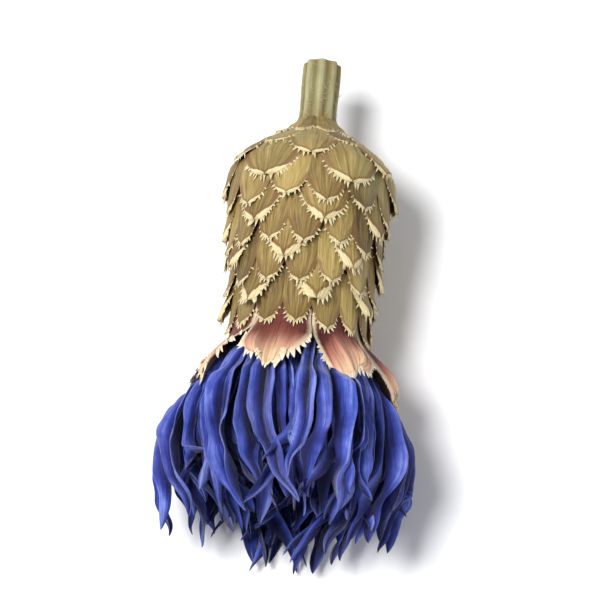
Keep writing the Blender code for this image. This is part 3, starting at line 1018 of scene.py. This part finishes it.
def ray_floret(number):
    """A sterile outer floret: a thin tube, then a flattened, pleated funnel whose pointed
    lobes reach the tip. It opens as 1 - (1 - x)^2.6, until RAY_OPEN_AT before the tip. It
    spreads at once, as 1 - (1 - x)^3, and its ends close in."""
    rng = np.random.default_rng(4200 + number)
    level = number % 2
    tip = RAY_LENGTHS[level] * (1.0 + RAY_LENGTH_WOBBLE * wobble(number, 21))
    turn = FULL_TURN * number / RAY_COUNT
    lobes = RAY_LOBES[number % len(RAY_LOBES)]
    hidden = np.linspace(FLORET_FOOT, TUBE_END, 8)[:-1]
    shown = np.linspace(TUBE_END, tip, 84)
    far = RAY_SPREADS[level] + rng.uniform(-0.3, 0.3)
    lean = RAY_LEANS[number % len(RAY_LEANS)] * rng.uniform(1.0, 1.8)
    roll = rng.uniform(-0.8, 0.8)

    def opening(s):
        return 1.0 - (1.0 - part(s, TUBE_END, tip - RAY_OPEN_AT)) ** 2.6

    def spread(s):
        above = part(s, TUBE_END, tip)
        middle = RAY_RING + RAY_RING_LEAN * smoothstep(s / TUBE_END)
        middle = middle + (far - middle) * (1.0 - (1.0 - above) ** 3)
        return middle - RAY_CLOSING[level] * smoothstep(part(above, 0.5, 1.0))

    bend = RAY_BEND._replace(inwards=RAY_INWARDS[level])
    patches = corolla(
        rng, np.concatenate([hidden, shown]), spread, turn, opening, RAY_SECTION, lobes,
        RAY_NOTCHES, tip, RAY_FOLDS, bend, TUBE_END, lean, roll,
    )
    return thicken(join(patches), RAY_FILM)


DISC_TUBE_RADIUS = 0.17
DISC_LOBES = 5
DISC_CUT = 1.8
DISC_BELL = 2.6
DISC_FOLDS = Folds(pleat=0.05, crumple=0.05)
DISC_BEND = Bend(
    twist=0.5, sway=0.25, curl=0.5, short=0.3, widen=0.2, lift=0.2, inwards=0.0, narrow=0.1
)
DISC_FILM = 0.05


def disc_floret(disc, number):
    """A fertile inner floret: a seed, a thread-thin tube, a bell with curled lobes, and
    the dark tube of anthers with the forked style standing out of it."""
    rng = np.random.default_rng(7300 + 20 * disc.count + number)
    turn = FULL_TURN * (number + 0.5) / disc.count
    mouth = disc.mouth * (1.0 + DISC_LENGTH_WOBBLE * wobble(number, 31))
    notch = mouth - DISC_CUT
    bell_foot = notch - DISC_BELL

    def spread(s):
        out = smoothstep(part(s, TUBE_END, mouth))
        return disc.ring + (disc.spread - disc.ring) * out

    def opening(s):
        return smoothstep((s - bell_foot) / 3.2)

    tube_part = np.linspace(FLORET_FOOT + SEED_LENGTH, bell_foot, 7)[:-1]
    stations = np.concatenate([tube_part, np.linspace(bell_foot, mouth, 30)])
    section = Section(disc.mouth_radius, disc.mouth_radius, DISC_TUBE_RADIUS)
    patches = corolla(
        rng, stations, spread, turn, opening, section, DISC_LOBES, (notch, notch + 0.3), mouth,
        DISC_FOLDS, DISC_BEND, notch - 4.0,
    )
    shell = thicken(join(patches), DISC_FILM)
    solids = weld(join([seed(disc, spread, turn), stamens(rng, mouth, spread, turn)]))
    points, faces, marks = (np.concatenate(pair) for pair in zip(shell, solids))
    faces[len(shell[1]) :] += len(shell[0])
    return points, faces, marks


def tube(stations, radii, out, aside, turn, along, tone, around):
    """A closed round tube of those radii, whose middle lies out from the axis and aside."""
    phase = np.arange(around) * FULL_TURN / around
    x, z = turned(
        out[:, None] + radii[:, None] * np.sin(phase),
        aside[:, None] + radii[:, None] * np.cos(phase),
        turn,
    )
    points = np.stack([x, np.broadcast_to(-stations[:, None], x.shape), z], axis=-1)
    return surface(points, np.cos(phase)[None, :], along[:, None], tone, closed=True)


def closed_ends(radii):
    radii[0] = radii[-1] = 0.0
    return radii


def seed(disc, spread, turn):
    """A closed spindle: its radius follows sin^0.6 between its two ends."""
    share = np.linspace(0.0, 1.0, 14)
    stations = FLORET_FOOT + SEED_LENGTH * share
    radii = disc.seed_radius * np.sin(math.pi * (0.06 + 0.9 * share)) ** 0.6
    nothing = np.zeros_like(share)
    return tube(stations, closed_ends(radii), spread(stations), nothing, turn, nothing, 0.0, 12)


def stamens(rng, mouth, spread, turn):
    """The anther tube, and past it the style, which forks into two short tips. Both lean
    aside as x^2, and each tip turns out as x^1.5."""
    share = np.linspace(0.0, 1.0, 16)
    stations = mouth - 2.2 + 2.6 * share
    lean = rng.uniform(-0.35, 0.35) * share**2
    radii = closed_ends(0.16 * (1.0 - 0.35 * share) * (1.0 + 0.12 * np.sin(9.0 * share)))
    out = spread(stations) + 0.2 * lean
    tone = rng.uniform(-1, 1)
    parts = [tube(stations, radii, out, lean, turn, 1.1 + 0.8 * share, tone, 10)]
    for fork in (-1.0, 1.0):
        reach = np.linspace(0.0, 1.0, 9)
        past = stations[-1] - 0.3 + 0.9 * reach - 0.1 * reach**3
        parted = 0.02 + 0.34 * part(reach, 0.4, 1.0) ** 1.5
        aside = lean[-1] + fork * parted + 0.1 * reach
        out = spread(past) + 0.2 * lean[-1]
        radii = closed_ends(0.05 * (1.0 - 0.4 * reach))
        parts.append(tube(past, radii, out, aside, turn, 2.1 + 0.8 * reach, 0.0, 6))
    return join(parts)


# ---- the stem

# The cut end, from its edge to its middle: the share of the radius, and the depth
CUT_SHARES = np.array([1.0, 0.93, 0.8, 0.62, 0.4, 0.2, 0.0])[:, None]
CUT_DEPTHS = np.array([0.0, -0.02, 0.06, 0.05, 0.16, 0.2, 0.22])[:, None]
DOME_HEIGHT = 0.35
HAIRS = 230
HAIR_HALF_WIDTH = 0.01


def stem():
    """A ribbed stalk, radius times 1 + rib cos(8 angle), which widens into the floor of the
    cup and ends there in a low dome. Its cut end is a shallow dish."""
    angle = (np.arange(96) * FULL_TURN / 96)[None, :]
    stalk = np.linspace(-STEM_LENGTH, 0.0, 22)
    inside = np.linspace(0.0, RECEPTACLE_TOP, 18)[1:]
    s = np.concatenate([stalk, inside])[:, None]
    rib = np.cos(STEM_RIBS * angle)
    foot = FOOT_RADIUS - RECEPTACLE_GAP
    below = STEM_RADIUS + (foot - STEM_RADIUS) * smoothstep((s + 0.9) / 0.9)
    base = np.where(s <= 0.0, below, cup_radius(s) - RECEPTACLE_GAP)
    fade = np.clip(1.0 - s / ROW_STEP, 0.0, 1.0) ** 2
    bow = 1.0 + 0.02 * np.sin(1.7 * s + 0.6) * (s < 0.0)
    radius = base * bow * (1.0 + RIB_DEPTH * rib * fade)
    along = (s + STEM_LENGTH) / (2.0 * STEM_LENGTH)
    # The ridge mark follows the ribs, for painted light on their crests and painted shade in the
    # grooves.
    ridge = 0.5 + 0.5 * rib * fade
    walls = surface(place(s, radius, angle), angle / FULL_TURN, along, 0.0, ridge, closed=True)
    cut = place(s[0] + CUT_DEPTHS, radius[:1] * CUT_SHARES, angle)
    dome = place(s[-1] + DOME_HEIGHT * (1.0 - CUT_SHARES**2), radius[-1:] * CUT_SHARES, angle)
    ends = [surface(cut, 0.0, 2.0 - CUT_SHARES, closed=True), surface(dome, 0.0, 0.9, closed=True)]
    return weld(join([walls, *ends, wool()]))


def wool():
    """Thin hairs that stand on the stalk at random places and angles, bent back to it."""
    rng = np.random.default_rng(99)
    s = rng.uniform(-STEM_LENGTH + 0.1, 0.1, HAIRS)
    angle = rng.uniform(0.0, FULL_TURN, HAIRS)
    nothing = np.zeros(HAIRS)
    outward = np.stack([np.cos(angle), nothing, np.sin(angle)], -1)
    around = np.stack([-np.sin(angle), nothing, np.cos(angle)], -1)
    heading = outward * 0.35 + around * rng.uniform(-1, 1, HAIRS)[:, None]
    heading = unit(heading + np.array([0.0, -1.0, 0.0]) * rng.uniform(-1, 1, HAIRS)[:, None])
    side = unit(np.cross(heading, outward))
    lift = -outward * rng.uniform(0.05, 0.2, HAIRS)[:, None]
    length = rng.uniform(0.25, 0.6, HAIRS)
    base = place(s, STEM_RADIUS, angle)
    width = np.full(HAIRS, HAIR_HALF_WIDTH)
    return spikes(base, heading, side, lift, length, width, HAIR_HALF_WIDTH, nothing, 2.1)


# ---- build

straw_gold_scale = scale_finish()
papery_rim_scale = rim_finish()
dry_blue_petal = petal_finish()
dry_purple_bell = disc_finish()
grey_green_stalk = stem_finish()

make_piece("stem", stem(), grey_green_stalk, "stem_with_receptacle")
for row, whorl in enumerate(WHORLS):
    finish, slot = (papery_rim_scale, "rim_bract") if row == RIM else (straw_gold_scale, "bract")
    for number in range(whorl.count):
        node = f"{whorl.name}_{number + 1}"
        make_piece(node.replace("bract", "scale"), bract(row, number), finish, node)
for number in range(RAY_COUNT):
    node = f"ray_floret_{number + 1}"
    make_piece(f"ray_{number + 1}", ray_floret(number), dry_blue_petal, node)
for disc in DISC_RINGS:
    for number in range(disc.count):
        node = f"{disc.name}_{number + 1}"
        piece = node.replace("disc_floret", "bell")
        make_piece(piece, disc_floret(disc, number), dry_purple_bell, node)


# ---- floor, light and camera

FLOOR_HALF = 1.5

# Each lamp's place from the middle of the flower and its size, in metres, and its power
LAMPS = (("key", (-0.25, -0.04, 0.55), 0.25, 4.45), ("fill", (0.5, -0.25, 0.35), 0.5, 0.8))
SKY_COLOUR = (0.95, 0.97, 1.0, 1.0)
SKY_STRENGTH = 0.34

VIEW_TURN = math.radians(5.0)
VIEW_HEIGHT = math.radians(69.0)
VIEW_DISTANCE = 0.30
LENS = 325.0


def floor():
    h = FLOOR_HALF
    corners = [(-h, -h, 0.0), (h, -h, 0.0), (h, h, 0.0), (-h, h, 0.0)]
    mesh = bpy.data.meshes.new("floor")
    mesh.from_pydata(corners, [], [(0, 1, 2, 3)])
    make = Finish("white_table", Specular_IOR_Level=0.2)
    speckle = make.noise(900.0)
    make.colour = make.blend(speckle, srgb(244, 244, 246), srgb(250, 250, 251))
    mesh.materials.append(make.finish(0.7 + speckle * 0.1, speckle, 0.01))
    table = bpy.data.objects.new("floor", mesh)
    bpy.context.scene.collection.objects.link(table)


def light(aim, name, offset, size, power):
    """A round lamp that faces the aim."""
    data = bpy.data.lights.new(name, "AREA")
    data.shape, data.size, data.energy = "DISK", size, power
    lamp = bpy.data.objects.new(name, data)
    lamp.location = aim + Vector(offset)
    lamp.rotation_euler = (-Vector(offset)).to_track_quat("-Z", "Y").to_euler()
    bpy.context.scene.collection.objects.link(lamp)


def sky():
    world = bpy.data.worlds.new("studio")
    world.use_nodes = True
    background = world.node_tree.nodes["Background"].inputs
    background["Color"].default_value = SKY_COLOUR
    background["Strength"].default_value = SKY_STRENGTH
    bpy.context.scene.world = world


def camera(aim):
    """It looks down on the aim from the florets' side, turned a little round the upright."""
    data = bpy.data.cameras.new("camera")
    data.lens = LENS
    data.clip_start, data.clip_end = 0.01, 10.0
    eye = bpy.data.objects.new("camera", data)
    right = Vector((math.cos(VIEW_TURN), math.sin(VIEW_TURN), 0.0))
    ahead = Vector((-math.sin(VIEW_TURN), math.cos(VIEW_TURN), 0.0))
    back = -ahead * math.cos(VIEW_HEIGHT) + Vector((0.0, 0.0, math.sin(VIEW_HEIGHT)))
    axes = Matrix((right, back.cross(right), back)).transposed().to_4x4()
    eye.matrix_world = Matrix.Translation(aim + back * VIEW_DISTANCE) @ axes
    bpy.context.scene.collection.objects.link(eye)
    bpy.context.scene.camera = eye


aim = Vector((cad_low + cad_high) / 2.0)
floor()
for lamp in LAMPS:
    light(aim, *lamp)
sky()
camera(aim)
bpy.context.scene.view_settings.view_transform = "Standard"
